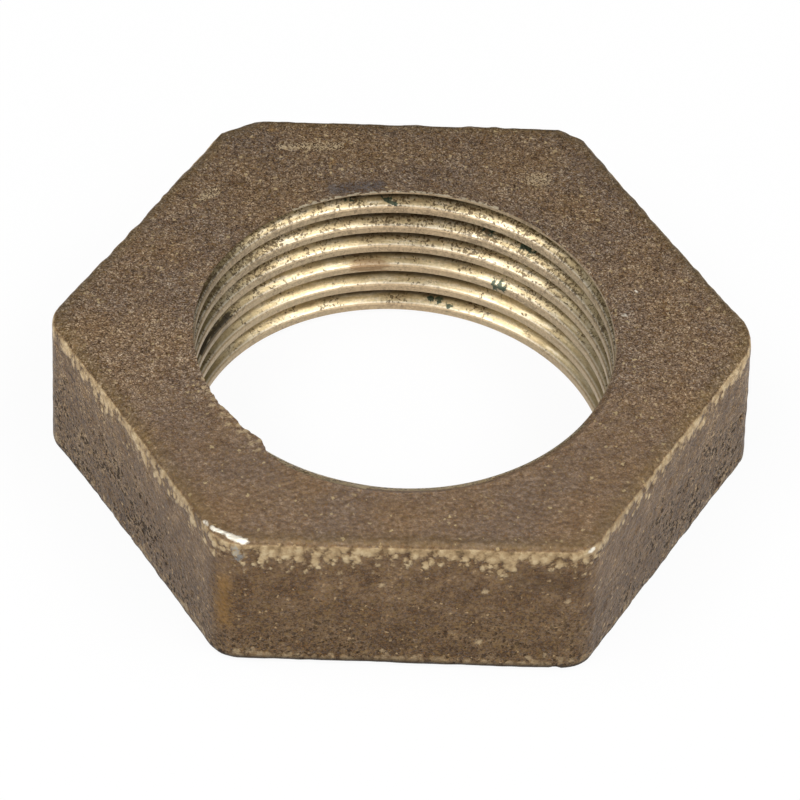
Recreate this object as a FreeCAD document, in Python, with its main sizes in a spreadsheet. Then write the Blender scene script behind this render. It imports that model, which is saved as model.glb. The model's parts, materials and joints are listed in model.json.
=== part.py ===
import FreeCAD, Part
import math
import os
import Sketcher

# A hexagon handwheel nut, cast in one piece and tapped with a right-hand fine thread.
# Millimetres. The thread's axis is Z, the seat face lies at z = 0, and two flats face +Y and -Y.

NODE = "handwheel_nut"
CORNERS = 6
# How a sketch numbers its own axes
X_AXIS = -1
Y_AXIS = -2
# Room for rounding when edges are picked out by the way they run
STRAIGHT = 1e-6

# Driving sizes: lengths in millimetres, angles in degrees, shares as parts of the pitch
SIZES = {
    "across_flats": 46.0,  # spanner size
    "thickness": 12.5,  # from the seat face to the outer face
    "corner_round": 3.0,  # radius down the six upright corners
    "edge_round": 0.6,  # radius round the outline of each face
    "thread_major": 33.0,  # diameter at the root of the thread
    "thread_pitch": 2.0,
    "flank_angle": 60.0,  # between the two flanks of a groove
    "thread_start": -30.0,  # degrees from +X at which a crest runs out of the seat face
    "crest_share": 0.325,  # flat crest that the bore leaves
    "root_share": 0.125,  # flat root that the tip of the tap leaves
    "tap_overlap": 0.1,  # how far the groove's section reaches into the bore
}

# The bore is drilled before tapping, and its wall becomes the crests of the thread
BORE_DIAMETER = (
    "(sizes.thread_major - sizes.thread_pitch"
    " * (1 - sizes.crest_share - sizes.root_share) / tan(sizes.flank_angle / 2))"
)


def make_sheet(doc):
    """Put the driving sizes into a spreadsheet, one named cell each."""
    sheet = doc.addObject("Spreadsheet::Sheet", "sizes")
    for row, (name, value) in enumerate(SIZES.items(), start=1):
        sheet.set(f"A{row}", name)
        sheet.set(f"B{row}", str(value))
        sheet.setAlias(f"B{row}", name)
    doc.recompute()


def origin_feature(body, role):
    """Find the body's own plane or axis by its role."""
    return next(item for item in body.Origin.OriginFeatures if item.Role == role)


def new_sketch(body, name, plane):
    """Add a sketch on one of the body's own planes."""
    sketch = body.newObject("Sketcher::SketchObject", name)
    sketch.AttachmentSupport = [(origin_feature(body, plane), "")]
    sketch.MapMode = "FlatFace"
    return sketch


def draw_loop(sketch, points):
    """Draw straight lines from point to point and back to the first, joined at their ends."""
    count = len(points)
    for i, point in enumerate(points):
        sketch.addGeometry(Part.LineSegment(point, points[(i + 1) % count]))
    for i in range(count):
        sketch.addConstraint(Sketcher.Constraint("Coincident", i, 2, (i + 1) % count, 1))


def drive(sketch, expression, *constraint):
    """Add a dimension to a sketch and let the sheet set it."""
    index = sketch.addConstraint(Sketcher.Constraint(*constraint))
    sketch.setExpression(f"Constraints[{index}]", expression)


def draw_hexagon(body):
    """A regular hexagon about the axis, with one corner on +X and its size across flats."""
    sketch = new_sketch(body, "hexagon_outline", "XY_Plane")
    step = 2 * math.pi / CORNERS
    radius = SIZES["across_flats"] / 2 / math.cos(step / 2)
    corners = [
        FreeCAD.Vector(radius * math.cos(i * step), radius * math.sin(i * step), 0)
        for i in range(CORNERS)
    ]
    draw_loop(sketch, corners)
    middle = FreeCAD.Vector(0, 0, 0)
    guide = sketch.addGeometry(Part.Circle(middle, FreeCAD.Vector(0, 0, 1), radius), True)
    sketch.addConstraint(Sketcher.Constraint("Coincident", guide, 3, -1, 1))
    sketch.addConstraint(Sketcher.Constraint("PointOnObject", 0, 1, X_AXIS))
    for side in range(CORNERS):
        sketch.addConstraint(Sketcher.Constraint("PointOnObject", side, 1, guide))
    for side in range(1, CORNERS):
        sketch.addConstraint(Sketcher.Constraint("Equal", 0, side))
    drive(sketch, "sizes.across_flats / 2", "DistanceY", -1, 1, 1, 1, SIZES["across_flats"] / 2)
    return sketch


def draw_bore(body):
    """The circle of the bore in four quarters, so that a crest can be measured a quarter turn at a time."""
    sketch = new_sketch(body, "bore_circle", "XY_Plane")
    radius = SIZES["thread_major"] / 2
    circle = Part.Circle(FreeCAD.Vector(0, 0, 0), FreeCAD.Vector(0, 0, 1), radius)
    quarter = math.pi / 2
    ends_on = [Y_AXIS, X_AXIS, Y_AXIS, X_AXIS]
    for i, axis in enumerate(ends_on):
        sketch.addGeometry(Part.ArcOfCircle(circle, i * quarter, (i + 1) * quarter))
        sketch.addConstraint(Sketcher.Constraint("Coincident", i, 3, -1, 1))
        sketch.addConstraint(Sketcher.Constraint("PointOnObject", i, 2, axis))
        if i:
            sketch.addConstraint(Sketcher.Constraint("Coincident", i, 1, i - 1, 2))
    sketch.addConstraint(Sketcher.Constraint("PointOnObject", 0, 1, X_AXIS))
    drive(sketch, BORE_DIAMETER, "Diameter", 0, 2 * radius)
    return sketch


def draw_groove(body):
    """The section of the thread's groove: a flat root between two flanks, open to the bore.

    Its middle lies half a pitch below the seat face, so a crest runs out there at the thread's start.
    """
    sketch = new_sketch(body, "groove_section", "XZ_Plane")
    turn = FreeCAD.Rotation(FreeCAD.Vector(0, 1, 0), SIZES["thread_start"])
    sketch.AttachmentOffset = FreeCAD.Placement(FreeCAD.Vector(0, 0, 0), turn)
    sketch.setExpression("AttachmentOffset.Rotation.Angle", "sizes.thread_start")
    pitch = SIZES["thread_pitch"]
    lean = math.radians(SIZES["flank_angle"] / 2)
    root = SIZES["thread_major"] / 2
    root_half = SIZES["root_share"] * pitch / 2
    mouth_half = (1 - SIZES["crest_share"]) * pitch / 2
    mouth = root - (mouth_half - root_half) / math.tan(lean)
    level = -pitch / 2
    draw_loop(sketch, [
        FreeCAD.Vector(mouth, level - mouth_half, 0),
        FreeCAD.Vector(root, level - root_half, 0),
        FreeCAD.Vector(root, level + root_half, 0),
        FreeCAD.Vector(mouth, level + mouth_half, 0),
    ])
    sketch.addConstraint(Sketcher.Constraint("Vertical", 1))
    sketch.addConstraint(Sketcher.Constraint("Vertical", 3))
    sketch.addConstraint(Sketcher.Constraint("Equal", 0, 2))
    drive(sketch, "sizes.thread_major / 2", "DistanceX", -1, 1, 1, 1, root)
    drive(sketch, "sizes.root_share * sizes.thread_pitch", "DistanceY", 1, 1, 1, 2, 2 * root_half)
    drive(sketch, "(1 - sizes.root_share) * sizes.thread_pitch / 2",
          "DistanceY", 1, 2, -1, 1, -level - root_half)
    drive(sketch, BORE_DIAMETER + " / 2 - sizes.tap_overlap", "DistanceX", -1, 1, 0, 1, mouth)
    drive(sketch, "sizes.flank_angle / 2", "Angle", 0, lean)
    return sketch


def edges_that(shape, test):
    """Name the edges of a shape that pass a test."""
    return [f"Edge{i}" for i, edge in enumerate(shape.Edges, start=1) if test(edge)]


def runs_upright(edge):
    return edge.BoundBox.XLength < STRAIGHT and edge.BoundBox.YLength < STRAIGHT


def runs_level(edge):
    return edge.BoundBox.ZLength < STRAIGHT


def round_edges(doc, body, name, base, test, size):
    """Round every edge of a feature that passes the test."""
    doc.recompute()
    feature = body.newObject("PartDesign::Fillet", name)
    feature.Base = (base, edges_that(base.Shape, test))
    feature.setExpression("Radius", size)
    return feature


def build_nut(doc):
    """The nut in the order in which it is made: cast blank, bore, thread."""
    body = doc.addObject("PartDesign::Body", NODE)
    body.Label = NODE

    blank = body.newObject("PartDesign::Pad", "blank")
    blank.Profile = draw_hexagon(body)
    blank.setExpression("Length", "sizes.thickness")
    corners = round_edges(doc, body, "corners", blank, runs_upright, "sizes.corner_round")
    outlines = round_edges(doc, body, "outlines", corners, runs_level, "sizes.edge_round")

    bore = body.newObject("PartDesign::Pocket", "bore")
    bore.Profile = draw_bore(body)
    bore.Type = "ThroughAll"
    bore.Reversed = True
    bore.Refine = False

    thread = body.newObject("PartDesign::SubtractiveHelix", "thread")
    thread.Profile = draw_groove(body)
    thread.ReferenceAxis = (origin_feature(body, "Z_Axis"), [""])
    thread.Mode = "pitch-height-angle"
    thread.Refine = False
    thread.setExpression("Pitch", "sizes.thread_pitch")
    thread.setExpression("Height", "sizes.thickness + 2 * sizes.thread_pitch")
    doc.recompute()
    return body, [blank, corners, outlines, bore, thread]


def check(doc, steps):
    """Stop if anything failed, or if a step after the blank took no metal away."""
    failed = [item.Label for item in doc.Objects if {"Invalid", "Error"} & set(item.State)]
    if failed:
        raise RuntimeError(f"failed objects: {failed}")
    for step in steps:
        if step.Shape.isNull() or not step.Shape.isValid():
            raise RuntimeError(f"{step.Label} has no valid shape")
    for before, after in zip(steps, steps[1:]):
        if after.Shape.Volume >= before.Shape.Volume:
            raise RuntimeError(f"{after.Label} takes nothing away")


doc = FreeCAD.newDocument(NODE)
make_sheet(doc)
nut, steps = build_nut(doc)
check(doc, steps)
os.makedirs("parts", exist_ok=True)
nut.Shape.exportStep(f"parts/{NODE}.step")
for step in steps:
    print(f"{step.Label}: {step.Shape.Volume / 1000:.3f} cm3, {len(step.Shape.Faces)} faces")
box = nut.Shape.optimalBoundingBox(False, False)
print(f"{nut.Label}: {box.XLength:.2f} x {box.YLength:.2f} x {box.ZLength:.2f} mm")
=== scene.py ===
# %% [markdown]
# # A sand-cast bronze nut with a tapped thread
#
# The object is a single casting: a thick hexagon ring, poured in sand, left rough outside and tapped
# inside. Painting the CAD solid would give its colours, but sand grain, worn edges and a torn rim are
# shapes as well. So one new mesh stands in for the solid. It keeps the solid's sizes, is worked in
# millimetres so that the numbers read like a workshop drawing, and is scaled to metres at the end.

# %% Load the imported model
import json
import math

import bmesh
import bpy
from mathutils import Matrix, Vector, geometry, noise


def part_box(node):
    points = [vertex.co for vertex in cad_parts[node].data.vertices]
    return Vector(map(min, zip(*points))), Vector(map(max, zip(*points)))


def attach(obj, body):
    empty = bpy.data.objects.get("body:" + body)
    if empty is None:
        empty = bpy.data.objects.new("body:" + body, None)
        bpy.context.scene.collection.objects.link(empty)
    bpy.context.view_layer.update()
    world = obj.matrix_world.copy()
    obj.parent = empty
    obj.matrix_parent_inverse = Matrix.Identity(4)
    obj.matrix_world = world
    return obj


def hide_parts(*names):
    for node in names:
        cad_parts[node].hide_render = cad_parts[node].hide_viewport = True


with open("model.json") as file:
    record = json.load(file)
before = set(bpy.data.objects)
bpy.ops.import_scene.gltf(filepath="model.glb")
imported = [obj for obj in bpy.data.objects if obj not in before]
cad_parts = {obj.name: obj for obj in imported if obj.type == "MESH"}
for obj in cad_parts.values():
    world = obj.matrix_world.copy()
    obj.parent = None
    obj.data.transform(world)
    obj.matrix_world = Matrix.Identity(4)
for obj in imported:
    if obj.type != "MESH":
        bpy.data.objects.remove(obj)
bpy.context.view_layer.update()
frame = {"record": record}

MM = 0.001
low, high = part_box("handwheel_nut")
half_flats = high.y / MM
thickness = (high.z - low.z) / MM
thread_mount = next(mount for mount in frame["record"]["mounts"] if mount["name"] == "thread")
crest_radius = thread_mount["dims"]["r_mm"]
print(f"nut {2 * half_flats:.1f} across flats, {thickness:.1f} thick, bore {2 * crest_radius:.2f} mm")

# %% [markdown]
# ## The tapped thread
#
# The real thread was cut by a tap, so every turn has the same section: a flat crest that the drilled bore
# left, two flanks and a narrow flat root. A Screw modifier could make it, and so could a bump texture, but
# a bump has no undercut and no shadow. Here a few vertices draw the section in one upright plane, and the
# spin operator carries it round with a rise of one pitch a turn. Two cuts then face it off level with the
# nut.

# %% Draw the section of the thread
PITCH = 2.0
ROOT_RADIUS = 16.5
CREST_FLAT = 0.65
ROOT_FLAT = 0.25
CREST_BREAK = 0.08  # the corners of a crest are never quite sharp
THREAD_START = math.radians(-30)  # where a crest leaves the underside
FLANK_SHARES = (1 / 3, 2 / 3, 1)  # points down a flank, from crest to root

flank_rise = (PITCH - CREST_FLAT - ROOT_FLAT) / 2
crest_half = CREST_FLAT / 2


def flank_radius(share):
    """Distance from the axis at some share of the way out from a crest to a root."""
    return crest_radius + share * (ROOT_RADIUS - crest_radius)


section = [
    (crest_radius + CREST_BREAK, -crest_half),
    (crest_radius, CREST_BREAK - crest_half),
    (crest_radius, 0.0),
    (crest_radius, crest_half - CREST_BREAK),
    (crest_radius + CREST_BREAK, crest_half),
]
for share in FLANK_SHARES:
    section.append((flank_radius(share), crest_half + share * flank_rise))
for share in reversed(FLANK_SHARES):
    section.append((flank_radius(share), PITCH - crest_half - share * flank_rise))
first_crest = -THREAD_START / math.tau * PITCH
turns = range(-1, math.ceil(thickness / PITCH))

bm = bmesh.new()
drawn = []
for turn in turns:
    turn_level = first_crest + turn * PITCH
    drawn += [bm.verts.new((radius, 0, turn_level + rise)) for radius, rise in section]
lines = [bm.edges.new(pair) for pair in zip(drawn, drawn[1:])]
print(f"section of {len(section)} points a pitch, over {len(turns)} pitches")

# %% Screw it round and face it off
COLUMNS = 512  # steps in one turn
SEAM_GAP = 0.005  # points nearer to each other than this are one
ON_PLANE = 0.01  # points nearer to a cut than this lie on it

# Each step also rises, so the end of a turn meets the start of the next one and is merged with it afterwards
bmesh.ops.spin(bm, geom=drawn + lines, cent=(0, 0, 0), axis=(0, 0, 1), dvec=(0, 0, PITCH / COLUMNS),
               angle=math.tau, steps=COLUMNS)
bmesh.ops.remove_doubles(bm, verts=bm.verts, dist=SEAM_GAP)
for cut_level, outward in ((thickness, 1), (0, -1)):
    bmesh.ops.bisect_plane(bm, geom=bm.verts[:] + bm.edges[:] + bm.faces[:], dist=ON_PLANE,
                           plane_co=(0, 0, cut_level), plane_no=(0, 0, outward), clear_outer=True)
print(f"thread of {len(bm.faces)} faces")

# %% [markdown]
# ## The torn rim
#
# Where the thread runs out through the upper face, the tap leaves a thin lip of metal over the last groove.
# On the real nut that lip is still there on one side, ends in a ragged tear, and on the other side the rim
# is worn back. The rim could be cut with a boolean, but it is already a loop of vertices, so it is only
# moved in or out by its angle round the bore.

# %% Find the rims and pull them to shape
# Degrees round the bore from +X, and how far out the rim lies there in millimetres
RIM_PLAN = [
    (0, 16.08), (29, 15.78), (49, 15.63), (61, 15.56), (118, 15.56), (131, 15.61), (160, 15.64), (200, 15.62),
    (228, 15.56), (231.5, 16.3), (240, 16.66), (262, 16.72), (280, 16.62), (300, 16.42), (330, 16.2),
    (360, 16.08),
]
# How far the rim strays in and out of that line
TEAR_PLAN = [
    (0, 0.04), (60, 0.04), (75, 0.1), (110, 0.1), (125, 0.04), (195, 0.06), (208, 0.2), (229, 0.35),
    (234, 0.15), (250, 0.04), (360, 0.04),
]
TEAR = 0.55  # length of one tear
RIM_SLOPE = 0.577  # fall of the worn rim towards the bore, as a 30 degree flank has
LIP = 0.13  # thickness of the lip
BORE_SHIFT = Vector((0.0, -0.87, 0))  # the tap ran in a little off the middle of the casting


def angle_of(point):
    """Degrees round the axis from +X, 0 to 360."""
    return math.degrees(math.atan2(point.y, point.x)) % 360


def along_plan(plan, angle):
    """Read a list of (angle, value) pairs at one angle, with straight runs between them."""
    for (start, before), (end, after) in zip(plan, plan[1:]):
        if start <= angle <= end:
            return before + (after - before) * (angle - start) / (end - start)
    return plan[-1][1]


def radius_of(point):
    return math.hypot(point.x, point.y)


def set_radius(point, radius):
    """Move a point straight in or out from the axis."""
    share = radius / radius_of(point)
    point.x *= share
    point.y *= share


def rim_edges(level):
    """The open edges of the thread wall at one face of the nut."""
    return [edge for edge in bm.edges
            if edge.is_boundary and all(abs(vert.co.z - level) < 2 * ON_PLANE for vert in edge.verts)]


upper_rim = rim_edges(thickness)
lower_rim = rim_edges(0)
rim_verts = {vert for edge in upper_rim for vert in edge.verts}
for vert in bm.verts:
    rim_radius = along_plan(RIM_PLAN, angle_of(vert.co))
    if vert in rim_verts:
        ragged = along_plan(TEAR_PLAN, angle_of(vert.co)) * noise.noise(vert.co / TEAR)
        set_radius(vert.co, max(rim_radius + ragged, crest_radius))
        vert.co.z = thickness
    elif vert.co.z > thickness - PITCH / 2:
        vert.co.z = min(vert.co.z, thickness - max(LIP, RIM_SLOPE * (rim_radius - radius_of(vert.co))))
for edge in lower_rim:
    for vert in edge.verts:
        vert.co.z = 0
bmesh.ops.translate(bm, vec=BORE_SHIFT, verts=bm.verts)
print(f"rims of {len(upper_rim)} and {len(lower_rim)} edges")

# %% [markdown]
# ## The cast skin
#
# Outside the thread the nut is as the sand left it: two flat lands, six flats and soft corners and edges. A
# hexagon with bevelled corners gives that shape quickly, but its faces would be far too large to carry
# grain. So the skin grows from the rims of the thread: each loop of edges is extruded in small steps, out
# over the land, round the edge and along the flats, from both sides at once, and the two last loops are
# bridged.

# %% Say where the outline lies
EDGE_ROUND = 0.6
# The six corners from +X round, at the underside and at the upper face: a rounded one by its radius,
# a flattened one by the distance of its flat from the axis
CORNERS = [
    ("round", 3.0, 5.3), ("flat", 25.85, 25.85), ("flat", 25.65, 25.65),
    ("round", 3.0, 3.0), ("round", 3.0, 3.0), ("round", 2.6, 3.0),
]
SIXTH = math.tau / len(CORNERS)
# Degrees round the nut from +X, and how far the casting shrank in there, at the underside and the upper face
SHRUNK_LOW = [
    (0, 0.0), (178, 0.0), (186, 0.2), (215, 0.27), (238, 0.25), (252, 0.18), (270, 0.1), (288, 0.0),
    (360, 0.0),
]
SHRUNK_HIGH = [(0, 0.0), (6, 0.12), (20, 0.2), (45, 0.2), (58, 0.12), (64, 0.0), (360, 0.0)]


def outline_reach(point, inset):
    """Distance from the axis to the outline in a point's direction, with the outline drawn in by inset."""
    shrunk = [along_plan(plan, angle_of(point)) for plan in (SHRUNK_LOW, SHRUNK_HIGH)]
    inset += shrunk[0] + (shrunk[1] - shrunk[0]) * point.z / thickness
    angle = math.atan2(point.y, point.x)
    corner = round(angle / SIXTH)
    form, low_size, high_size = CORNERS[corner % len(CORNERS)]
    size = low_size + (high_size - low_size) * point.z / thickness
    from_corner = abs(angle - corner * SIXTH)
    reach = half_flats - inset
    side = reach / math.cos(SIXTH / 2 - from_corner)
    if form == "flat":
        return min(side, (size - inset) / math.cos(from_corner))
    bend = size - inset
    if reach * math.tan(SIXTH / 2 - from_corner) <= (reach - bend) * math.tan(SIXTH / 2):
        return side
    centre = (reach - bend) / math.cos(SIXTH / 2)
    return centre * math.cos(from_corner) + math.sqrt(bend**2 - (centre * math.sin(from_corner))**2)


upper_corners = [Vector((math.cos(i * SIXTH), math.sin(i * SIXTH), thickness)) for i in range(len(CORNERS))]
reaches = [round(outline_reach(corner, 0), 2) for corner in upper_corners]
print(f"upper corners at {reaches} mm, flats at {half_flats:.2f} mm")

# %% Grow the skin from the rims
EDGE_STEPS = 5
FLAT_ROWS = 20
UPPER_RINGS = 28
LOWER_RINGS = 18


def extrude_loop(loop, place_vert):
    """Extrude a loop of edges and move each new vertex to where place_vert puts it."""
    grown = bmesh.ops.extrude_edge_only(bm, edges=loop)["geom"]
    new_verts = {item for item in grown if isinstance(item, bmesh.types.BMVert)}
    for vert in new_verts:
        place_vert(vert.co)
    new_edges = [item for item in grown if isinstance(item, bmesh.types.BMEdge)]
    return [edge for edge in new_edges if new_verts.issuperset(edge.verts)]


def on_outline(point, inset, height):
    """Put a point on the outline at some height."""
    point.z = height
    set_radius(point, outline_reach(point, inset))


def grow_skin(loop, face_level, inward, rings):
    """Carry a rim out over its face, round the edge and half way along the flats."""
    for left in range(rings, 0, -1):
        def step_out(point):
            goal = outline_reach(point, EDGE_ROUND)
            set_radius(point, radius_of(point) + (goal - radius_of(point)) / left)
        loop = extrude_loop(loop, step_out)
    for step in range(1, EDGE_STEPS + 1):
        turn = math.pi / 2 * step / EDGE_STEPS
        inset = EDGE_ROUND * (1 - math.sin(turn))
        depth = EDGE_ROUND * (1 - math.cos(turn))
        loop = extrude_loop(loop, lambda point: on_outline(point, inset, face_level + inward * depth))
    row = (thickness / 2 - EDGE_ROUND) / (FLAT_ROWS + 0.5)
    for step in range(1, FLAT_ROWS + 1):
        depth = EDGE_ROUND + step * row
        loop = extrude_loop(loop, lambda point: on_outline(point, 0, face_level + inward * depth))
    return loop


thread_faces = set(bm.faces)
upper_half = grow_skin(upper_rim, thickness, -1, UPPER_RINGS)
lower_half = grow_skin(lower_rim, 0, 1, LOWER_RINGS)
bmesh.ops.bridge_loops(bm, edges=upper_half + lower_half)
bmesh.ops.recalc_face_normals(bm, faces=bm.faces)
open_edges = sum(edge.is_boundary for edge in bm.edges)
print(f"skin of {len(bm.faces) - len(thread_faces)} faces, {open_edges} open edges")

# %% Choose which faces are cast and which are tapped
CAST, TAPPED = 0, 1  # the two material slots
FACES_UP = 0.5  # a face of the thread whose normal rises more than this is the worn slope of the rim

upper_verts = {vert for vert in bm.verts if thickness - vert.co.z < ON_PLANE}
for face in bm.faces:
    worn_slope = face.normal.z > FACES_UP and upper_verts.intersection(face.verts)
    face.material_index = TAPPED if face in thread_faces and not worn_slope else CAST
print(f"{sum(face.material_index == TAPPED for face in bm.faces)} tapped faces")

# %% [markdown]
# ## Where things lie on the skin
#
# Wear follows the edges, so the finish has to know how far each point is from the nearest outer edge. That
# could be painted by hand; here it is measured on the clean shape, before any grain, and kept as a named
# attribute: above zero on the lands, below zero down the flats, zero on the edge itself.

# %% Measure the way to the nearest edge, and how deep the wear goes
# Degrees round the nut from +X, and how far down the flats the upper edge is rubbed there in millimetres
RUB_PLAN = [
    (0, 1.2), (60, 0.7), (120, 0.7), (176, 1.2), (185, 2.2), (225, 2.4), (237, 1.8), (241, 2.2), (247, 2.8),
    (262, 2.9), (266, 2.0), (275, 2.4), (281, 1.6), (285, 2.4), (288, 3.8), (291, 1.8), (296, 2.2),
    (300, 2.5), (304, 2.0), (315, 2.0), (345, 2.0), (360, 1.2),
]
LOWER_RUB = 1.4  # the same up from the lower edge, all the way round
# Degrees round the nut from +X, and how coarse the grain still is there: hands smoothed the near side
COARSE_PLAN = [
    (0, 1.0), (195, 1.0), (225, 0.4), (240, 0.25), (300, 0.25), (320, 0.45), (345, 0.9), (360, 1.0),
]
# How much coarser it is at the underside, and up to what height that reaches
LOW_COARSE, LOW_REACH = 0.24, 8.0

attributes = ("edge_way", "rub", "coarse")
for name in attributes:
    bm.verts.layers.float.new(name)
edge_layer, rub_layer, coarse_layer = (bm.verts.layers.float[name] for name in attributes)
for vert in bm.verts:
    reach = outline_reach(vert.co, 0)
    inset = max(reach - radius_of(vert.co), 0) * half_flats / reach
    depth = max(min(vert.co.z, thickness - vert.co.z), 0)
    vert[edge_layer] = inset - depth
    vert[rub_layer] = along_plan(RUB_PLAN, angle_of(vert.co)) if vert.co.z > thickness / 2 else LOWER_RUB
    low_share = max(1 - vert.co.z / LOW_REACH, 0)
    vert[coarse_layer] = min(along_plan(COARSE_PLAN, angle_of(vert.co)) + LOW_COARSE * low_share, 1)
ways = [vert[edge_layer] for vert in bm.verts]
print(f"edge way from {min(ways):.2f} to {max(ways):.2f} mm")

# %% [markdown]
# ## Stains and knocks
#
# This nut has been used: a corner knocked to bare metal and painted bright as a highlight, pale rubbed
# patches, smears, and green verdigris in the thread. They could be painted on an image. Here each is a short
# line on the surface, and an attribute of its kind fades from 1 on the line to 0 at the mark's edge, so that
# the finish can colour it and tear its outline.

# %% List the marks
# Kind, the two ends of its line in millimetres, and how far it spreads to each side
SKIN_MARKS = [
    ("bare", (-13.9, -21.4, 12.4), (-12.4, -22.3, 12.4), 0.32),
    ("bare", (-12.6, -22.2, 12.4), (-11.4, -22.8, 12.4), 0.45),
    ("bare", (-14.5, -20.9, 12.4), (-14.4, -20.9, 12.4), 0.45),
    ("bare", (13.3, -22.5, 12.0), (13.5, -22.3, 12.0), 0.4),
    ("bare", (17.2, 4.4, 12.5), (17.3, 4.4, 12.5), 0.24),
    ("bare", (16.2, 1.8, 12.5), (16.3, 1.8, 12.5), 0.24),
    ("pale", (9.9, 16.6, 12.5), (10.5, 16.7, 12.5), 0.9),
    ("pale", (-15.3, 13.5, 12.5), (-14.4, 14.3, 12.5), 0.5),
    ("pale", (-9.5, 19.6, 12.5), (-4.9, 19.8, 12.5), 0.42),
    ("grain", (5.8, -23.0, 8.1), (5.9, -23.0, 8.1), 0.42),
    ("grain", (11.8, -23.0, 7.3), (11.9, -23.0, 7.3), 0.42),
    ("grain", (-1.6, -23.0, 8.5), (-1.5, -23.0, 8.5), 0.42),
    ("grain", (-1.3, -23.0, 1.6), (-1.2, -23.0, 1.6), 0.42),
    ("grain", (5.6, -23.0, 2.9), (5.7, -23.0, 2.9), 0.42),
    ("slate", (-5.3, 14.9, 12.5), (-2.0, 15.4, 12.5), 0.8),
    ("steel", (-12.0, -22.9, 11.8), (-11.9, -22.9, 10.8), 0.42),
    ("ochre", (-12.9, -22.4, 8.0), (-12.9, -22.4, 4.0), 1.5),
    ("ochre", (-10.2, 21.5, 12.5), (-10.1, 21.5, 12.5), 0.5),
    ("ochre", (-5.5, 17.9, 12.5), (-5.4, 17.9, 12.5), 0.5),
    ("soot", (8.5, -23.0, 9.2), (12.0, -23.0, 9.0), 2.4),
]
THREAD_MARKS = [
    ("soot", (-15.0, 4.13, 5.6), (-13.1, 7.93, 5.3), 0.85),
    ("ochre", (-3.1, 14.63, 5.1), (-1.7, 14.73, 5.1), 1.2),
    ("verdigris", (-1.4, 15.13, 11.3), (-0.7, 15.13, 11.0), 0.5),
    ("verdigris", (-4.3, 14.83, 11.5), (-3.7, 14.93, 11.3), 0.4),
    ("verdigris", (6.4, 14.23, 9.3), (6.9, 14.03, 9.2), 0.5),
    ("verdigris", (9.1, 12.73, 9.2), (9.7, 12.33, 9.2), 0.7),
    ("verdigris", (7.3, 12.93, 4.7), (7.6, 12.83, 4.7), 0.7),
    ("verdigris", (2.4, 15.13, 1.3), (3.0, 15.03, 1.2), 0.5),
    ("verdigris", (3.8, 14.43, 0.9), (3.9, 14.43, 0.9), 0.4),
]
# Degrees round the bore between which the rim has a bright burr, in pieces of so many degrees
BURR_START, BURR_END, BURR_PIECE = 63, 123, 6
BURR_SPREAD = 0.16
# Degrees round the bore and distance from the rim of the grains left standing along its torn side
RIM_GRAINS = [
    (200, 0.1), (203, 0.4), (205, 0.1), (208, 0.2), (210, 0.6), (212, 0.1), (214, 0.5), (216, 0.1),
    (218, 0.7), (220, 0.2), (222, 0.6), (223, 0.1), (225, 0.4), (227, 0.8), (228, 0.2), (230, 0.5),
]
GRAIN_SPREAD = 0.42


def rim_point(angle, away=0.0):
    """A point on the upper rim, or some way out from it, at some degrees round the bore."""
    radius = along_plan(RIM_PLAN, angle) + away
    turn = math.radians(angle)
    return Vector((radius * math.cos(turn), radius * math.sin(turn), thickness)) + BORE_SHIFT


marks = SKIN_MARKS + THREAD_MARKS
for angle in range(BURR_START, BURR_END, BURR_PIECE):
    marks.append(("burr", rim_point(angle), rim_point(angle + BURR_PIECE), BURR_SPREAD))
for grain in RIM_GRAINS:
    marks.append(("grain", rim_point(*grain), rim_point(*grain), GRAIN_SPREAD))
kinds = sorted({mark[0] for mark in marks})
print(f"{len(marks)} marks: {', '.join(kinds)}")


# %% Spread them over the mesh
def spread_mark(kind, start, end, spread):
    """Raise a mark's attribute to 1 along a line, falling to 0 at the given distance from it."""
    start, end = Vector(start), Vector(end)
    layer = bm.verts.layers.float[kind]
    span = (end - start).length + spread
    touched = [vert for vert in bm.verts if (vert.co - start).length < span]
    for vert in touched:
        share = 0 if start == end else geometry.intersect_point_line(vert.co, start, end)[1]
        nearest = start.lerp(end, min(max(share, 0), 1))
        vert[layer] = max(vert[layer], 1 - (vert.co - nearest).length / spread)
    return len(touched)


for kind in kinds:
    bm.verts.layers.float.new(kind)
print(f"marks spread over {sum(spread_mark(*mark) for mark in marks)} vertices")

# %% [markdown]
# ## Sand grain
#
# A sand mould leaves lumps of a millimetre or two with grit on them, and a few deeper pores. A displacement
# in the finish could draw them, but the coarse part shows on the outline, so it is real shape: each vertex
# is pushed in along its normal, never out, so the nut keeps its size. The finest grit is smaller than a
# face and is left to the finish.

# %% Push the grain into the skin
SWELL, LUMP, GRIT, PORE = 9.0, 2.0, 0.8, 2.4  # sizes in millimetres
SWELL_DEPTH, LUMP_DEPTH, GRIT_DEPTH, PORE_DEPTH = 0.05, 0.10, 0.12, 0.18
LUMP_LAYERS = (1.0, 2.0, 2)  # fall of each finer layer of lumps, how much finer it is, and how many there are
PORE_SPREAD = 0.16  # radius of a pore as a share of the space between pores
LAND_SHARE = 0.4  # the lands are smoother than the flats
EDGE_SHARE = 1.5  # the edges crumble more
# Degrees round the nut from +X, and how rough the sand was there
ROUGH_PLAN = [
    (0, 0.8), (15, 1.0), (160, 1.0), (176, 0.3), (184, 0.3), (196, 1.0), (206, 1.0), (226, 0.45), (240, 0.3),
    (300, 0.3), (316, 0.7), (330, 1.0), (350, 1.0), (360, 0.8),
]
RIM_FADE = 1.2  # the grain dies away over this width at the rim of the bore


def from_zero(value):
    """A noise that runs from -1 to 1, brought to run from 0 to 1."""
    return 0.5 + 0.5 * value


def pore_at(point):
    """1 in the middle of a pore, 0 outside."""
    nearest = noise.voronoi(point / PORE)[0][0]
    return max(0.0, 1 - nearest / PORE_SPREAD)


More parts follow.
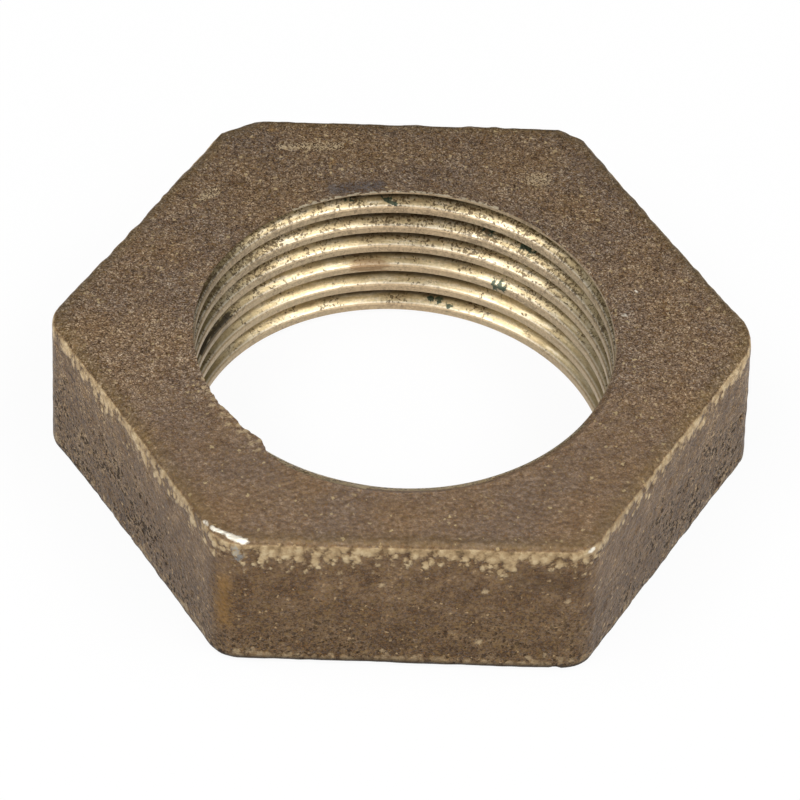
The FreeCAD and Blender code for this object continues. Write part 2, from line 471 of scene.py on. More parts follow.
def grain_depth(point, way):
    """How far the sand pushed the skin in at a point, by its way to the nearest edge."""
    share = LAND_SHARE if way > EDGE_ROUND else 1.0
    if abs(way) <= EDGE_ROUND:
        share = EDGE_SHARE
    share *= along_plan(ROUGH_PLAN, angle_of(point))
    fade = min((radius_of(point - BORE_SHIFT) - crest_radius) / RIM_FADE, 1.0)
    swell = from_zero(noise.noise(point / SWELL))
    lump = from_zero(noise.fractal(point / LUMP, *LUMP_LAYERS))
    grit = from_zero(noise.noise(point / GRIT))
    grain = share * (LUMP_DEPTH * lump + GRIT_DEPTH * grit)
    return max((SWELL_DEPTH * swell + grain + PORE_DEPTH * pore_at(point)) * fade, 0.0)


# The layers of the marks have moved the older ones, so this one is looked up again
edge_layer = bm.verts.layers.float["edge_way"]
thread_verts = {vert for face in thread_faces for vert in face.verts}
skin_verts = [vert for vert in bm.verts if vert not in thread_verts]
bm.normal_update()
moves = {vert: -vert.normal * grain_depth(vert.co, vert[edge_layer]) for vert in skin_verts}
for vert, move in moves.items():
    vert.co += move
print(f"grain up to {max(move.length for move in moves.values()):.2f} mm deep on {len(moves)} vertices")

# %% Smooth faces, sharp thread corners, metres
SHARP = math.radians(10)  # corners of the thread that turn more than this stay crisp

for face in bm.faces:
    face.smooth = True
for edge in bm.edges:
    if thread_faces.intersection(edge.link_faces):
        edge.smooth = edge.calc_face_angle(0) < SHARP
bmesh.ops.scale(bm, vec=(MM, MM, MM), verts=bm.verts)
nut_mesh = bpy.data.meshes.new("bronze_nut")
bm.to_mesh(nut_mesh)
bm.free()
nut = bpy.data.objects.new("bronze_nut", nut_mesh)
bpy.context.scene.collection.objects.link(nut)
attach(nut, "root")
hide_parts("handwheel_nut")
triangles = sum(len(face.vertices) - 2 for face in nut_mesh.polygons)
print(f"nut of {triangles} triangles")

# %% [markdown]
# ## Finishes
#
# Both finishes are the same bronze. One helper turns a web colour into the linear values that the renderer
# works in, and one adds a node to a material, so that each finish reads as a list of what it is made of.

# %% Helpers for the finishes
def paint(code):
    """A web colour such as #806040 in linear light, by the sRGB curve."""
    channels = [int(code[i:i + 2], 16) / 255 for i in (1, 3, 5)]
    linear = [c / 12.92 if c <= 0.04045 else ((c + 0.055) / 1.055)**2.4 for c in channels]
    return (*linear, 1.0)


def add_node(tree, kind, sockets, stops=None, **settings):
    """Add a node: settings are its properties, sockets its inputs, stops the colours of a ramp.

    An input is a value, another node's output, or a whole node, which stands for its first output in use.
    """
    node = tree.nodes.new("ShaderNode" + kind)
    for name, value in settings.items():
        setattr(node, name, value)
    for socket, value in sockets.items():
        if isinstance(value, bpy.types.Node):
            value = next(output for output in value.outputs if output.enabled)
        if isinstance(value, bpy.types.NodeSocket):
            tree.links.new(value, node.inputs[socket])
        else:
            node.inputs[socket].default_value = value
    if stops:
        ramp = node.color_ramp
        while len(ramp.elements) < len(stops):
            ramp.elements.new(1.0)
        for element, (position, code) in zip(ramp.elements, stops):
            element.position = position
            element.color = paint(code)
    return node


def new_material(name):
    """An empty node material, its node tree, and object coordinates in millimetres."""
    material = bpy.data.materials.new(name)
    material.use_nodes = True
    tree = material.node_tree
    tree.nodes.clear()
    where = add_node(tree, "TexCoord", {})
    place = add_node(tree, "Mapping", {"Vector": where.outputs["Object"], "Scale": (1 / MM,) * 3})
    return material, tree, place


print(f"mid grey #808080 is {paint('#808080')[0]:.3f} in linear light")

# %% [markdown]
# ### Tarnished sand-cast bronze
#
# The skin is bronze under a thin brown oxide, with sand grain of a tenth of a millimetre. To the eye that
# is a dull, speckled brown, pale on the high grains and dark between them, partly as painted shade, a
# little olive and orange in patches, and rubbed back to tan metal along the edges. Painted light makes the
# lands lighter towards the near side, and painted shade makes the flats darker low down. A photograph of
# bronze could be wrapped round it, but it would repeat and stretch; cells and noises in object coordinates
# have their real size everywhere.

# %% Mix light and dark grains
SPECK, CRUMB, CLOD, HAZE, MOTTLE = 0.09, 0.3, 0.4, 0.8, 1.8  # sizes in millimetres
SPECK_SHARE, CLOD_SHARE = 0.8, 0.15  # how much of the tone they make
FLAT_DRIFT, LAND_DRIFT = 0.9, 0.25  # how far the mottle shifts the tone of the flats and of the lands

skin, tree, place = new_material("tarnished_cast_bronze")
specks = add_node(tree, "TexVoronoi", {"Vector": place, "Scale": 1 / SPECK})
chance = add_node(tree, "SeparateColor", {"Color": specks.outputs["Color"]})
clods = add_node(tree, "TexVoronoi", {"Vector": place, "Scale": 1 / CLOD})
swollen = add_node(tree, "MapRange", {"Value": clods, "From Min": 0.9, "From Max": 0.2})
haze = add_node(tree, "TexNoise", {"Vector": place, "Scale": 1 / HAZE, "Detail": 7.0, "Roughness": 0.72})
cloud = add_node(tree, "MapRange", {"Value": haze, "From Min": 0.2, "From Max": 0.8})
tone = add_node(tree, "Mix", {"Factor": SPECK_SHARE, "A": cloud, "B": chance.outputs["Red"]})
# The clods also paint their tops lighter and the gaps between them darker, a painted shade on the grain
tone = add_node(tree, "Mix", {"Factor": CLOD_SHARE, "A": tone, "B": swollen})

# Where hands smoothed the grain, crumbs of few tones take the place of the specks
coarse = add_node(tree, "Attribute", {}, attribute_name="coarse").outputs["Fac"]
crumb = add_node(tree, "TexNoise", {"Vector": place, "Scale": 1 / CRUMB, "Detail": 2.0})
smooth = add_node(tree, "MapRange", {
    "Value": crumb, "From Min": 0.25, "From Max": 0.75, "To Min": 0.3, "To Max": 0.7})
tone = add_node(tree, "Mix", {"Factor": coarse, "A": smooth, "B": tone})

way = add_node(tree, "Attribute", {}, attribute_name="edge_way").outputs["Fac"]
land = add_node(tree, "MapRange", {"Value": way, "From Min": -0.2, "From Max": 0.3})
mottle = add_node(tree, "TexNoise", {"Vector": place, "Scale": 1 / MOTTLE, "Detail": 4.0, "Roughness": 0.65})
drift = add_node(tree, "MapRange", {"Value": land, "To Min": FLAT_DRIFT, "To Max": LAND_DRIFT})
middle = add_node(tree, "Math", {0: mottle, 1: 0.5}, operation="SUBTRACT")
tone = add_node(tree, "Math", {0: middle, 1: drift, 2: tone}, operation="MULTIPLY_ADD")
print(f"specks of {SPECK} mm on clods of {CLOD} mm")

# %% Colour the grains
OXIDE = [
    (0.1, "#35281d"), (0.32, "#5c4b3d"), (0.5, "#736252"),
    (0.68, "#8f7d6b"), (0.82, "#b3a28b"), (0.95, "#ddd1bd"),
]
PATCH = 6.0  # millimetres
COOL_LAND, WARM_LAND = "#f2efee", "#fff4e2"
SMOOTH_FLAT, COARSE_FLAT = "#ebdec9", "#e6d5b8"
LAND_REACH = 22.0  # about where the lands end, in millimetres from the middle
NEAR_LIGHT, FAR_LIGHT = 1.4, 0.84  # painted light: the lands are lighter towards the near side and darker towards the far side
LOW_LIGHT = 0.74  # painted shade: the flats are darker towards the underside
RUST, ASH, HONEY = "#93683a", "#7d7c80", "#8a6f45"

speckle = add_node(tree, "ValToRGB", {"Fac": tone}, stops=OXIDE)
patch = add_node(tree, "TexNoise", {"Vector": place, "Scale": 1 / PATCH, "Detail": 3.0})
warm = add_node(tree, "MapRange", {"Value": patch, "From Min": 0.4, "From Max": 0.62})
lands = add_node(tree, "Mix", {"Factor": warm, "A": paint(COOL_LAND), "B": paint(WARM_LAND)},
                 data_type="RGBA")
flats = add_node(tree, "Mix", {"Factor": coarse, "A": paint(SMOOTH_FLAT), "B": paint(COARSE_FLAT)},
                 data_type="RGBA")
tint = add_node(tree, "Mix", {"Factor": land, "A": flats, "B": lands}, data_type="RGBA")
tinted = add_node(tree, "Mix", {"Factor": 1.0, "A": speckle, "B": tint},
                  data_type="RGBA", blend_type="MULTIPLY")
axes = add_node(tree, "SeparateXYZ", {"Vector": place})
# Painted light and shade, multiplied into the grain colour: lands lighter to the near side, flats darker low
# down
painted_land_light = add_node(tree, "MapRange", {
    "Value": axes.outputs["Y"], "From Min": -LAND_REACH, "From Max": LAND_REACH, "To Min": NEAR_LIGHT,
    "To Max": FAR_LIGHT})
painted_low_shade = add_node(tree, "MapRange", {
    "Value": axes.outputs["Z"], "From Min": 1.5, "From Max": 10.0, "To Min": LOW_LIGHT})
shade = add_node(tree, "Mix", {"Factor": land, "A": painted_low_shade, "B": painted_land_light})
shaded_grains = add_node(tree, "VectorMath", {0: tinted, "Scale": shade}, operation="SCALE")

flecks = add_node(tree, "SeparateColor", {"Color": crumb.outputs["Color"]})
for luck, first, last, most, colour in (
    (chance.outputs["Green"], 0.8, 0.95, 0.4, RUST),
    (chance.outputs["Blue"], 0.82, 0.95, 0.2, ASH),
    (flecks.outputs["Green"], 0.5, 0.66, 0.35, HONEY),
):
    amount = add_node(tree, "MapRange", {"Value": luck, "From Min": first, "From Max": last, "To Max": most})
    shaded_grains = add_node(tree, "Mix", {"Factor": amount, "A": shaded_grains, "B": paint(colour)}, data_type="RGBA")
print(f"{len(OXIDE)} tones of oxide in patches of {PATCH} mm")

# %% Scatter pale crumbs and painted glints over the skin
GLINT = 0.38  # millimetres from crumb to crumb; on the lands the crumbs are painted glints
NUDGE = 0.5  # how far the crumbs, glints and pits stray from round, in millimetres
# Pale crumbs of metal on the flats; on the lands the specks are painted glints, highlights on the grain
FLAT_CRUMB, LAND_GLINT = "#b89d75", "#c6b085"

nudge = add_node(tree, "VectorMath", {0: crumb.outputs["Color"], "Scale": NUDGE}, operation="SCALE")
nudged = add_node(tree, "VectorMath", {0: place, 1: nudge}, operation="ADD")
sparks = add_node(tree, "TexVoronoi", {"Vector": nudged, "Scale": 1 / GLINT})
lucky = add_node(tree, "SeparateColor", {"Color": sparks.outputs["Color"]})
picked = add_node(tree, "MapRange", {
    "Value": lucky.outputs["Red"], "From Min": 0.8, "From Max": 0.93, "To Max": 0.75})
spark_size = add_node(tree, "MapRange", {"Value": lucky.outputs["Green"], "To Min": 0.2, "To Max": 0.46})
inside = add_node(tree, "Math", {0: spark_size, 1: sparks}, operation="SUBTRACT")
inside = add_node(tree, "MapRange", {"Value": inside, "From Max": 0.15})
crumb_and_glint = add_node(tree, "Math", {0: picked, 1: inside}, operation="MULTIPLY")
crumb_and_glint_colour = add_node(tree, "Mix", {"Factor": land, "A": paint(FLAT_CRUMB), "B": paint(LAND_GLINT)},
                 data_type="RGBA")
crumbed_and_glinted = add_node(tree, "Mix", {"Factor": crumb_and_glint, "A": shaded_grains, "B": crumb_and_glint_colour}, data_type="RGBA")
print(f"crumbs {GLINT} mm apart")

# %% Pit the flats
POCK = 0.31  # millimetres from pit to pit
POCK_DARK = "#20150b"
POCK_COVER = 0.8

pocks = add_node(tree, "TexVoronoi", {"Vector": nudged, "Scale": 1 / POCK})
pock_luck = add_node(tree, "SeparateColor", {"Color": pocks.outputs["Color"]})
on_flat = add_node(tree, "MapRange", {"Value": way, "From Min": 0.2, "From Max": -0.4})
pock_size = add_node(tree, "Math", {0: on_flat, 1: pock_luck.outputs["Red"]}, operation="MULTIPLY")
# Pits are wider low down, where the grain is coarse, and in drifts
for measure, first, last, least, most in (
    (axes.outputs["Z"], 11.8, 6.0, 0.0, 0.74),
    (coarse, 0.25, 0.6, 0.6, 1.0),
    (mottle, 0.4, 0.62, 0.3, 1.2),
):
    widen = add_node(tree, "MapRange", {
        "Value": measure, "From Min": first, "From Max": last, "To Min": least, "To Max": most})
    pock_size = add_node(tree, "Math", {0: pock_size, 1: widen}, operation="MULTIPLY")
pock = add_node(tree, "Math", {0: pock_size, 1: pocks}, operation="SUBTRACT")
pock = add_node(tree, "MapRange", {"Value": pock, "From Max": 0.08, "To Max": POCK_COVER})
deep = add_node(tree, "MapRange", {"Value": coarse, "From Min": 0.25, "From Max": 0.6, "To Min": 0.4})
pock = add_node(tree, "Math", {0: pock, 1: deep}, operation="MULTIPLY")
pocked = add_node(tree, "Mix", {"Factor": pock, "A": crumbed_and_glinted, "B": paint(POCK_DARK)}, data_type="RGBA")
print(f"pits {POCK} mm apart")

# %% [markdown]
# ### Rubbed edges
#
# Hands and spanners rub the oxide off the edges, first from the lumps that stand highest. An even band
# along the edge would look painted, so the band is the sum of three things: how near the edge is, scallops
# of a few millimetres, and the lumps themselves.

# %% Find where the edges are rubbed
BLOB, SCALLOP = 0.6, 2.2  # millimetres
BLOB_STRETCH = (1.0, 1.0, 0.75)  # the lumps are drawn out a little downwards
FUSED_SHARE = 0.32  # how far lumps run into each other
SCALLOP_WEIGHT, LUCK_WEIGHT, LUMP_WEIGHT = 2.2, 0.4, 0.9
RUB_SHIFT, SCALLOP_SHIFT = 0.1, -0.6
FADE_LOW = 0.4  # wear along the lower edge is fainter

rub_depth = add_node(tree, "Attribute", {}, attribute_name="rub").outputs["Fac"]
stretched = add_node(tree, "Mapping", {"Vector": nudged, "Scale": BLOB_STRETCH})
blob = add_node(tree, "TexVoronoi", {"Vector": stretched, "Scale": 1 / BLOB})
dome = add_node(tree, "MapRange", {"Value": blob, "From Min": 0.85, "From Max": 0.25})
fused = add_node(tree, "TexNoise", {"Vector": place, "Scale": 1 / BLOB, "Detail": 2.0})
fused = add_node(tree, "MapRange", {"Value": fused, "From Min": 0.3, "From Max": 0.65})
bulge = add_node(tree, "Mix", {"Factor": FUSED_SHARE, "A": dome, "B": fused})
lumpy = add_node(tree, "SeparateColor", {"Color": blob.outputs["Color"]})
scallop = add_node(tree, "TexNoise", {"Vector": place, "Scale": 1 / SCALLOP, "Detail": 5.0, "Roughness": 0.7})
cover = add_node(tree, "Math", {0: way, 1: rub_depth}, operation="DIVIDE")
for pattern, weight in ((scallop, SCALLOP_WEIGHT), (lumpy.outputs["Red"], LUCK_WEIGHT), (bulge, LUMP_WEIGHT)):
    cover = add_node(tree, "Math", {0: pattern, 1: weight, 2: cover}, operation="MULTIPLY_ADD")
above = add_node(tree, "MapRange", {"Value": cover, "From Min": 1.05, "From Max": 1.32})
# It stops at the edge, short of the land, along a line that strays with the scallops
inner = way
for pattern, weight in ((rub_depth, RUB_SHIFT), (scallop, SCALLOP_SHIFT)):
    inner = add_node(tree, "Math", {0: pattern, 1: weight, 2: inner}, operation="MULTIPLY_ADD")
below = add_node(tree, "MapRange", {"Value": inner, "From Min": -0.12, "From Max": -0.4})
worn = add_node(tree, "Math", {0: above, 1: below}, operation="MULTIPLY")
faint = add_node(tree, "MapRange", {
    "Value": axes.outputs["Z"], "From Min": 3.0, "From Max": 5.0, "To Min": FADE_LOW})
worn = add_node(tree, "Math", {0: worn, 1: faint}, operation="MULTIPLY")
print(f"wear in scallops of {SCALLOP} mm, lumps of {BLOB} mm")

# %% Rub them back to tan metal
TAN = [(0.1, "#46372a"), (0.35, "#8c7555"), (0.6, "#af9671"), (0.85, "#cbb691")]
OLIVE = "#64532f"  # thin oxide on the lands beside the edge
GRAIN_SHARE = 0.45  # how much of the specks still shows in the wear
COARSE_LIGHT = 1.22  # the wear is brighter where the grain is still coarse

olive = add_node(tree, "MapRange", {"Value": way, "From Min": 1.6, "From Max": 0.4, "To Max": 0.4})
olive = add_node(tree, "Math", {0: olive, 1: land}, operation="MULTIPLY")
edged = add_node(tree, "Mix", {"Factor": olive, "A": pocked, "B": paint(OLIVE)}, data_type="RGBA")
# The tops of the lumps are rubbed lighter, and the gaps between them are painted darker as shade
polish_and_shade = add_node(tree, "Mix", {"Factor": GRAIN_SHARE, "A": bulge, "B": tone})
tan = add_node(tree, "ValToRGB", {"Fac": polish_and_shade}, stops=TAN)
lit = add_node(tree, "MapRange", {"Value": coarse, "From Min": 0.25, "To Min": 1.0, "To Max": COARSE_LIGHT})
tan = add_node(tree, "VectorMath", {0: tan, "Scale": lit}, operation="SCALE")
finish = add_node(tree, "Mix", {"Factor": worn, "A": edged, "B": tan}, data_type="RGBA")
print(f"{len(TAN)} tones of rubbed metal")

# %% Add the stains and knocks
MARK_EDGE = 0.3  # a mark begins to show where its attribute passes this
# Kind, colour, strength, how far its edge is torn, and how softly it fades
STAINS = [
    ("pale", "#cdb894", 0.6, 4.0, 0.6),
    ("grain", "#cdb68f", 0.7, 0.7, 0.5),
    ("ochre", "#8f6a33", 0.6, 1.2, 0.7),
    ("slate", "#55565b", 0.6, 2.8, 0.3),
    ("steel", "#8b9aa1", 0.45, 3.6, 0.3),
    ("soot", "#2c2219", 0.3, 0.8, 0.7),
]
FOOT_SHADE, FOOT_SHADE_COVER = "#1d150f", 0.85  # painted shade: the dark line round the foot of the nut
BURR, BURR_STRENGTH, BURR_TEAR = "#dccfb2", 0.6, 5.0
# Knocked bare metal, its near-white colour a painted highlight on the facet
BARE_HIGHLIGHT, BARE_TEAR = "#f6eedc", 0.5


def marked(tree, kind, ragged, tear, fade=0.3):
    """How strongly a kind of mark shows: its attribute, with its edge torn by a noise and fading out."""
    level = add_node(tree, "Attribute", {}, attribute_name=kind).outputs["Fac"]
    stray = add_node(tree, "Math", {0: ragged, 1: 0.5}, operation="SUBTRACT")
    torn = add_node(tree, "Math", {0: stray, 1: tear, 2: level}, operation="MULTIPLY_ADD")
    mask = add_node(tree, "MapRange", {"Value": torn, "From Min": MARK_EDGE, "From Max": MARK_EDGE + fade})
    present = add_node(tree, "MapRange", {"Value": level, "From Max": MARK_EDGE})
    return add_node(tree, "Math", {0: present, 1: mask}, operation="MULTIPLY")


def stain(tree, under, mask, colour, strength):
    """Lay a colour over a finish where a mask shows it."""
    amount = add_node(tree, "Math", {0: mask, 1: strength}, operation="MULTIPLY")
    return add_node(tree, "Mix", {"Factor": amount, "A": under, "B": paint(colour)}, data_type="RGBA")


for kind, colour, strength, tear, fade in STAINS:
    finish = stain(tree, finish, marked(tree, kind, tone, tear, fade), colour, strength)
# Painted shade where the nut meets the floor
foot_shade = add_node(tree, "MapRange", {
    "Value": axes.outputs["Z"], "From Min": 0.85, "From Max": 0.5, "To Max": FOOT_SHADE_COVER})
outer = add_node(tree, "MapRange", {"Value": way, "From Min": 0.9, "From Max": 0.4})
finish = stain(tree, finish, foot_shade, FOOT_SHADE, outer)
finish = stain(tree, finish, marked(tree, "burr", crumb, BURR_TEAR), BURR, BURR_STRENGTH)
bare = marked(tree, "bare", crumb, BARE_TEAR)
finish = stain(tree, finish, bare, BARE_HIGHLIGHT, 1.0)
print(f"{len(STAINS)} kinds of stain, grime, burr and bare metal on the skin")

# %% Give the skin its relief and sheen
RELIEF = 0.09 * MM
POCK_HEIGHT, LUMP_HEIGHT = -2.5, 1.5  # against the height of the grain
SHEEN, BARE_SHEEN = 0.4, 0.5  # oxide hides part of the metal
ROUGHNESS, BARE_ROUGHNESS = 0.45, 0.35
GLAZE = 0.12  # what little the oxide itself reflects

height = add_node(tree, "Mix", {"Factor": 0.5, "A": cloud, "B": swollen})
height = add_node(tree, "Math", {0: pock, 1: POCK_HEIGHT, 2: height}, operation="MULTIPLY_ADD")
lumps = add_node(tree, "Math", {0: worn, 1: bulge}, operation="MULTIPLY")
height = add_node(tree, "Math", {0: lumps, 1: LUMP_HEIGHT, 2: height}, operation="MULTIPLY_ADD")
relief = add_node(tree, "Bump", {"Height": height, "Strength": 1.0, "Distance": RELIEF})
# Nothing shines at the bottom of a pit
open_skin = add_node(tree, "MapRange", {"Value": pock, "To Min": 1.0, "To Max": 0.0})
sheen = add_node(tree, "MapRange", {"Value": bare, "To Min": SHEEN, "To Max": BARE_SHEEN})
sheen = add_node(tree, "Math", {0: sheen, 1: open_skin}, operation="MULTIPLY")
glaze = add_node(tree, "Math", {0: open_skin, 1: GLAZE}, operation="MULTIPLY")
gloss = add_node(tree, "MapRange", {"Value": bare, "To Min": ROUGHNESS, "To Max": BARE_ROUGHNESS})
bsdf = add_node(tree, "BsdfPrincipled", {
    "Base Color": finish, "Metallic": sheen, "Roughness": gloss, "Specular IOR Level": glaze,
    "Normal": relief})
add_node(tree, "OutputMaterial", {"Surface": bsdf})
nut_mesh.materials.append(skin)
print(f"{skin.name}: {len(tree.nodes)} nodes")

# %% [markdown]
# ### Tapped bronze
#
# The tap left bare metal: pale flanks that shine, crests with the drill's duller surface, dirt in the roots
# and small dark pits from the casting. Painted shade deepens the roots and darkens the sides of the bore, the
# crests are painted lighter in the middle of the far side, and a painted highlight runs along the lip of each
# crest. One colour for all of it would flatten the thread, so the finish measures how far each point lies
# from the axis, which tells crest, flank and root apart.

# %% Tell crests, flanks and roots apart
FAR_WALL_LEAST, FAR_WALL_MOST = 0.05, 0.75  # root dirt and painted shade, light at the sides and heavy in the middle of the far side
SIDE_CREST = 0.78  # how much of the crest colour covers the crests at the sides
# Millimetres out from the crests, or in from the roots, over which each of them comes in
CREST_BAND, LIP_HIGHLIGHT_BAND, ROOT_BAND = (0.12, 0.08), (0.24, 0.14), (0.42, 0.15)
LIP_HIGHLIGHT_SHARE = 0.5  # how strongly the painted highlight along the lip beside a crest shows

tapped, tree, place = new_material("tapped_bronze")
across = add_node(tree, "VectorMath", {0: place, 1: BORE_SHIFT}, operation="SUBTRACT")
across = add_node(tree, "VectorMath", {0: across, 1: (1.0, 1.0, 0.0)}, operation="MULTIPLY")
from_axis = add_node(tree, "VectorMath", {0: across}, operation="LENGTH")
bore_axes = add_node(tree, "SeparateXYZ", {"Vector": across})
# Painted light and shade round the bore: darker roots and lighter crests in the middle of the far side
far_wall_share = add_node(tree, "MapRange", {
    "Value": bore_axes.outputs["Y"], "From Min": 14.4, "From Max": 16.0, "To Min": FAR_WALL_LEAST,
    "To Max": FAR_WALL_MOST})
crest_share = add_node(tree, "MapRange", {
    "Value": far_wall_share, "From Min": FAR_WALL_LEAST, "From Max": FAR_WALL_MOST, "To Min": SIDE_CREST})
crest = add_node(tree, "MapRange", {
    "Value": from_axis, "From Min": crest_radius + CREST_BAND[0], "From Max": crest_radius + CREST_BAND[1],
    "To Max": crest_share})
# A painted highlight along the lip beside each crest
lip_highlight = add_node(tree, "MapRange", {
    "Value": from_axis, "From Min": crest_radius + LIP_HIGHLIGHT_BAND[0], "From Max": crest_radius + LIP_HIGHLIGHT_BAND[1],
    "To Max": LIP_HIGHLIGHT_SHARE})
root = add_node(tree, "MapRange", {
    "Value": from_axis, "From Min": ROOT_RADIUS - ROOT_BAND[0], "From Max": ROOT_RADIUS - ROOT_BAND[1],
    "To Max": far_wall_share})
print(f"crests at {crest_radius:.2f} mm, roots at {ROOT_RADIUS:.2f} mm")

# %% Colour the thread
METAL = [(0.3, "#a6906a"), (0.5, "#cab68d"), (0.7, "#e6dac0")]
STREAK = (0.5, 0.5, 5.0)  # the tap drew its marks out along the turns
SIDE_SHADE = "#5f5231"  # painted shade towards the sides of the bore
# Where that begins and ends to the left and to the right, in millimetres along X, and how far it goes
SIDE_SHADE_SPANS = [(-10.2, -14.8, 0.9), (9.6, 14.5, 0.52)]
# The colour of that painted highlight
LIP_HIGHLIGHT = "#f1e8d4"
# The crest colour, painted darker at the sides and lighter on the far side
SHADED_CREST, LIT_CREST = "#a9926f", "#ccb28f"
# Dirt and painted shade in the roots
ROOT_DIRT_AND_SHADE = "#3a2d1e"

drag = add_node(tree, "Mapping", {"Vector": place, "Scale": STREAK})
streak = add_node(tree, "TexNoise", {"Vector": drag, "Scale": 1.0, "Detail": 6.0, "Roughness": 0.7})
metal = add_node(tree, "ValToRGB", {"Fac": streak}, stops=METAL)
# Painted shade, heavier on the left side of the bore than on the right
left_shade, right_shade = (
    add_node(tree, "MapRange", {
        "Value": bore_axes.outputs["X"], "From Min": first, "From Max": last, "To Max": most})
    for first, last, most in SIDE_SHADE_SPANS)
side_shade = add_node(tree, "Math", {0: left_shade, 1: right_shade}, operation="ADD")
crest_lit_and_shaded = add_node(tree, "Mix", {"Factor": far_wall_share, "A": paint(SHADED_CREST), "B": paint(LIT_CREST)},
                   data_type="RGBA")
for mask, colour in (
    (side_shade, paint(SIDE_SHADE)), (lip_highlight, paint(LIP_HIGHLIGHT)), (crest, crest_lit_and_shaded), (root, paint(ROOT_DIRT_AND_SHADE)),
):
    metal = add_node(tree, "Mix", {"Factor": mask, "A": metal, "B": colour}, data_type="RGBA")
print(f"{len(METAL)} tones of cut metal")

# %% Pit the thread
PIT, SWARM, FLAKE = 0.15, 3.0, 0.35  # millimetres
PIT_NUDGE = 0.4  # how far the pits stray from round, in millimetres
PIT_DARK = "#46341f"
PIT_COVER = 0.78
CREST_PITS = 0.35  # the crests have fewer pits

flakes = add_node(tree, "TexNoise", {"Vector": place, "Scale": 1 / FLAKE, "Detail": 2.0})
pit_nudge = add_node(tree, "VectorMath", {0: flakes.outputs["Color"], "Scale": PIT_NUDGE}, operation="SCALE")
pit_place = add_node(tree, "VectorMath", {0: place, 1: pit_nudge}, operation="ADD")
cells = add_node(tree, "TexVoronoi", {"Vector": pit_place, "Scale": 1 / PIT})
odds = add_node(tree, "SeparateColor", {"Color": cells.outputs["Color"]})
swarm = add_node(tree, "TexNoise", {"Vector": place, "Scale": 1 / SWARM, "Detail": 5.0, "Roughness": 0.75})
pit = add_node(tree, "Math", {0: swarm, 1: 2.0, 2: odds.outputs["Red"]}, operation="MULTIPLY_ADD")
# Pits crowd the upper turns, and more to the sides than in the middle
thread_axes = add_node(tree, "SeparateXYZ", {"Vector": place})
higher = add_node(tree, "MapRange", {
    "Value": thread_axes.outputs["Z"], "From Min": 4.0, "From Max": 9.0, "To Max": 0.3})
sideways = add_node(tree, "Math", {0: thread_axes.outputs["X"]}, operation="ABSOLUTE")
sideways = add_node(tree, "MapRange", {
    "Value": sideways, "From Min": 2.0, "From Max": 8.0, "To Min": 0.8, "To Max": 1.35})
pit = add_node(tree, "Math", {0: higher, 1: sideways, 2: pit}, operation="MULTIPLY_ADD")
pit = add_node(tree, "MapRange", {"Value": pit, "From Min": 1.88, "From Max": 2.08, "To Max": PIT_COVER})
clean = add_node(tree, "MapRange", {"Value": crest, "To Min": 1.0, "To Max": CREST_PITS})
pit = add_node(tree, "Math", {0: pit, 1: clean}, operation="MULTIPLY")
grainy = add_node(tree, "MapRange", {"Value": odds.outputs["Green"], "To Min": 0.84, "To Max": 1.12})
satin = add_node(tree, "VectorMath", {0: metal, "Scale": grainy}, operation="SCALE")
pitted = add_node(tree, "Mix", {"Factor": pit, "A": satin, "B": paint(PIT_DARK)}, data_type="RGBA")
print(f"pits of {PIT} mm in swarms of {SWARM} mm")

# %% Stain the thread and give it its shine
THREAD_TEAR = 4.0
SOOT_STRENGTH = 0.85
METALLIC = 0.7  # a thin film of oil and oxide dulls the metal
FLANK_ROUGHNESS, CREST_ROUGHNESS = 0.32, 0.5
DENT = -0.04 * MM

sooty = add_node(tree, "Math", {0: clean, 1: SOOT_STRENGTH}, operation="MULTIPLY")
stained = pitted
for kind, colour, strength, ragged in (
    ("ochre", "#8a6a45", 0.7, streak),
    ("soot", "#22170b", sooty, streak),
    ("verdigris", "#283f33", 0.9, flakes),
):
    stained = stain(tree, stained, marked(tree, kind, ragged, THREAD_TEAR), colour, strength)
gloss = add_node(tree, "MapRange", {"Value": crest, "To Min": FLANK_ROUGHNESS, "To Max": CREST_ROUGHNESS})
dent = add_node(tree, "Bump", {"Height": pit, "Strength": 0.6, "Distance": DENT})
bsdf = add_node(tree, "BsdfPrincipled", {
    "Base Color": stained, "Metallic": METALLIC, "Roughness": gloss, "Normal": dent})
add_node(tree, "OutputMaterial", {"Surface": bsdf})
nut_mesh.materials.append(tapped)
print(f"{tapped.name}: {len(tree.nodes)} nodes")

# %% [markdown]
# ## Floor, light and camera
#
# The nut was photographed on white, under large soft lamps. A white floor alone would turn grey away from
# the lamps. So for the camera and in reflections the floor is mostly an even white glow, and only the rest
# of it is a plain board, which takes a faint shadow.

# %% Lay the floor
FLOOR_SIDE = 3.0
GLOW = 0.93
BOARD = "#f2f2f2"

bm = bmesh.new()
bmesh.ops.create_grid(bm, x_segments=1, y_segments=1, size=FLOOR_SIDE / 2)
floor_mesh = bpy.data.meshes.new("floor")
bm.to_mesh(floor_mesh)
bm.free()
floor = bpy.data.objects.new("floor", floor_mesh)
bpy.context.scene.collection.objects.link(floor)

white, tree, _ = new_material("white_board")
light_path = add_node(tree, "LightPath", {}).outputs
seen = light_path["Is Camera Ray"]
for ray in ("Is Glossy Ray", "Is Transmission Ray"):
    seen = add_node(tree, "Math", {0: seen, 1: light_path[ray]}, operation="MAXIMUM")
glow_share = add_node(tree, "Math", {0: seen, 1: GLOW}, operation="MULTIPLY")
board = add_node(tree, "BsdfDiffuse", {"Color": paint(BOARD)})
glow = add_node(tree, "Emission", {"Color": (1, 1, 1, 1), "Strength": 1.0})
both = add_node(tree, "MixShader", {"Fac": glow_share, 1: board, 2: glow})
add_node(tree, "OutputMaterial", {"Surface": both})
floor_mesh.materials.append(white)
print(f"floor of {FLOOR_SIDE} m, {GLOW:.0%} glow")

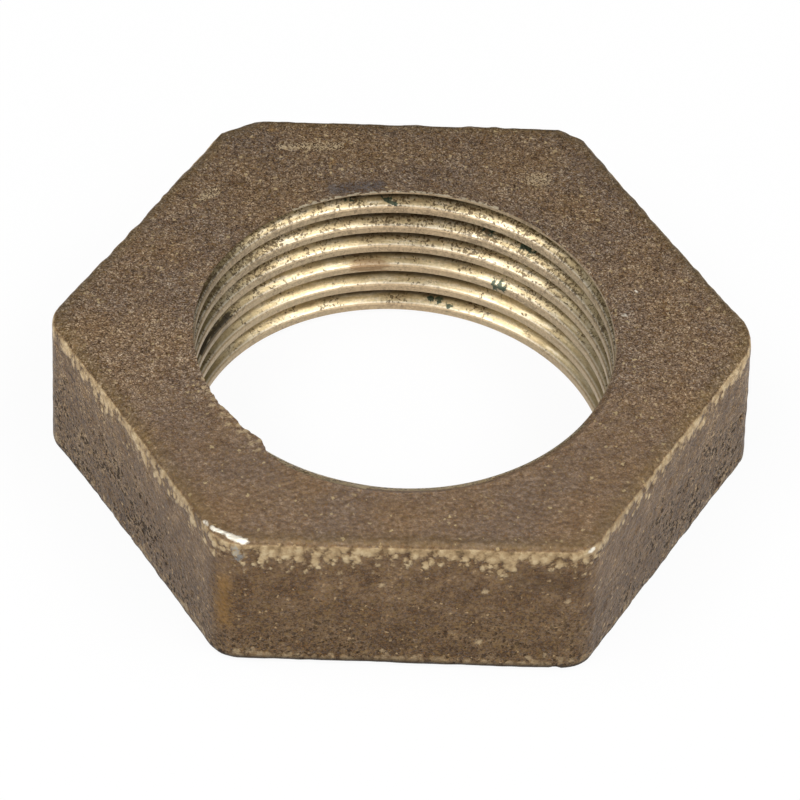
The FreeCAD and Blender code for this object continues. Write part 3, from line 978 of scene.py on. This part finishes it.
# %% Hang the lamps
LAMPS = [
    # name, place in metres, width and length in metres, degrees turned about X and Y, watts
    ("left_strip", (-0.345, -0.30, 0.66), (0.28, 0.9), (0, -28), 3.3),
    ("right_strip", (0.40, -0.30, 0.66), (0.28, 0.9), (0, 31), 3.4),
    ("front_box", (0.0, -0.62, 0.58), (0.7, 0.3), (47, 0), 0.3),
]
for name, spot, (width, length), lean, power in LAMPS:
    lamp = bpy.data.lights.new(name, "AREA")
    lamp.shape = "RECTANGLE"
    lamp.size = width
    lamp.size_y = length
    lamp.energy = power
    hung = bpy.data.objects.new(name, lamp)
    hung.location = spot
    hung.rotation_euler = (*map(math.radians, lean), 0)
    bpy.context.scene.collection.objects.link(hung)
print(f"{len(LAMPS)} lamps of {sum(lamp[-1] for lamp in LAMPS):.1f} W in all")

# %% Light the room softly from the front
ROOM_BACK, ROOM_FRONT = 0.12, 0.7

world = bpy.data.worlds.new("studio")
world.use_nodes = True
tree = world.node_tree
tree.nodes.clear()
sky = add_node(tree, "TexCoord", {})
sky_axes = add_node(tree, "SeparateXYZ", {"Vector": sky.outputs["Generated"]})
room_light = add_node(tree, "MapRange", {
    "Value": sky_axes.outputs["Y"], "From Min": 1.0, "From Max": -1.0, "To Min": ROOM_BACK,
    "To Max": ROOM_FRONT})
room = add_node(tree, "Background", {"Color": (1, 1, 1, 1), "Strength": room_light})
add_node(tree, "OutputWorld", {"Surface": room})
bpy.context.scene.world = world
bpy.context.scene.view_settings.view_transform = "Standard"
print(f"room in {len(tree.nodes)} nodes")

# %% Set the camera where the photograph was taken
AIM = Vector((0.0, 2.45, 2.5)) * MM
TURN, RISE, TILT = math.radians(2.12), math.radians(43.88), math.radians(2.98)
DISTANCE = 457.8 * MM
FOCAL_LENGTH, SENSOR_WIDTH = 273.8, 36.0  # millimetres
SIGHT = 10.0  # metres

lens = bpy.data.cameras.new("camera")
lens.lens = FOCAL_LENGTH
lens.sensor_width = SENSOR_WIDTH
lens.clip_end = SIGHT
camera = bpy.data.objects.new("camera", lens)
toward = Vector((math.sin(TURN) * math.cos(RISE), math.cos(TURN) * math.cos(RISE), -math.sin(RISE)))
camera.location = AIM - DISTANCE * toward
camera.rotation_mode = "QUATERNION"
camera.rotation_quaternion = toward.to_track_quat("-Z", "Y") @ Matrix.Rotation(TILT, 4, "Z").to_quaternion()
bpy.context.scene.collection.objects.link(camera)
bpy.context.scene.camera = camera
print(f"camera {DISTANCE / MM:.0f} mm away, {FOCAL_LENGTH} mm lens")
